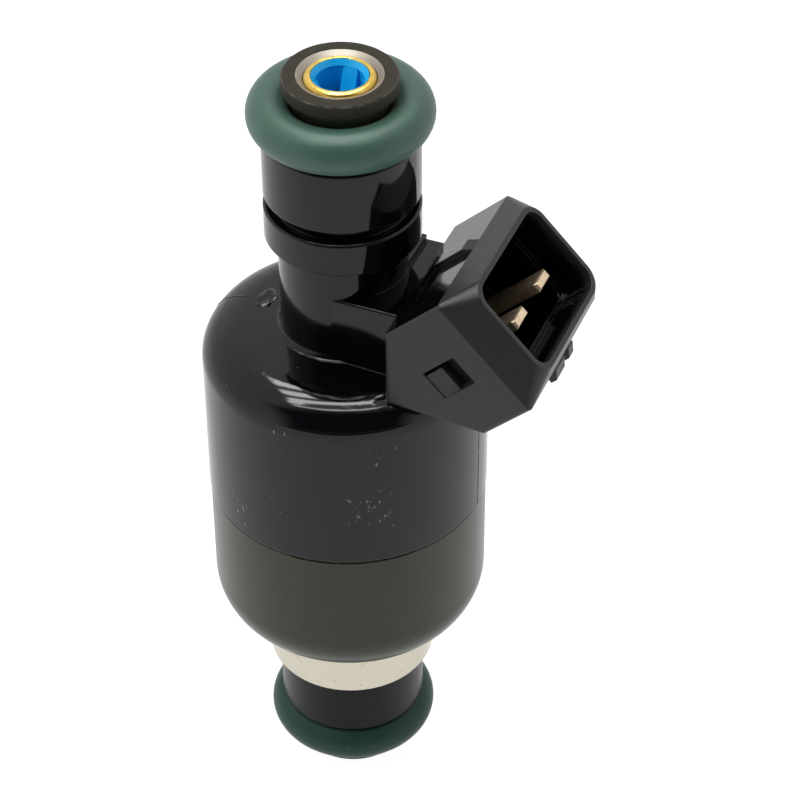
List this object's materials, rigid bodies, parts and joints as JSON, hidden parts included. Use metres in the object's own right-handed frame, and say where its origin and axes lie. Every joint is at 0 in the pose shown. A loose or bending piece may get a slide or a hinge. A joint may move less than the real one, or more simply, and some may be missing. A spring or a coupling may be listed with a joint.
{
  "type": "fuel injector",
  "caption": "Top-feed electromagnetic fuel injector with a moulded side connector, sealing rings at both ends and a spring-closed ball valve.",
  "frame": {"origin": "centre of the nozzle's end face, on the injector's axis", "axes": "+Z along the injector's axis from the nozzle to the fuel inlet; the electrical connector leans out towards +X"},
  "size_m": [0.0311, 0.0234, 0.071],
  "materials": {
    "moulded_black": "glossy glass-filled nylon, finely scratched",
    "spacer_black": "satin moulded plastic",
    "olive_coat": "satin olive-grey coating on steel",
    "dark_coat": "matte dark olive coating, worn bright at the edge",
    "nickel_plate": "warm nickel plating, turned",
    "green_rubber": "satin green fluorocarbon rubber",
    "bright_steel": "turned stainless steel",
    "core_steel": "turned magnetic steel",
    "spring_steel": "drawn spring wire",
    "bobbin_plastic": "natural moulded plastic",
    "copper_wire": "enamelled copper wire",
    "gold_plate": "pale gold plating",
    "brass_ring": "bright turned brass",
    "blue_plastic": "bright blue moulded plastic",
    "filter_cloth": "fine woven nylon mesh"
  },
  "bodies": {
    "injector_body": {"adjusting_sleeve": "bright_steel", "ball_guide": "bright_steel", "coil_bobbin": "bobbin_plastic", "coil_leads": "copper_wire", "coil_seal": "green_rubber", "coil_winding": "copper_wire", "director_plate": "bright_steel", "filter_cage": "blue_plastic", "filter_collar": "brass_ring", "filter_mesh": "filter_cloth", "fixed_core": "core_steel", "flux_washer": "core_steel", "gap_ring": "bright_steel", "inlet_tube": "bright_steel", "lower_o_ring": "green_rubber", "overmould": "moulded_black", "seal_spacer": "spacer_black", "seat_seal": "green_rubber", "solenoid_housing": "olive_coat", "spray_housing": "nickel_plate", "terminal_left": "gold_plate", "terminal_right": "gold_plate", "tip_retainer": "spacer_black", "top_washer": "dark_coat", "upper_o_ring": "green_rubber", "valve_seat": "bright_steel", "valve_spring": "spring_steel"},
    "valve": {"armature": "core_steel", "valve_ball": "bright_steel"}
  },
  "joints": [
    {"name": "valve_lift", "type": "slide", "parent": "injector_body", "child": "valve", "axis": [0, 0, 1], "range_m": [0, 0.0002], "deforming": ["valve_spring"]}
  ]
}
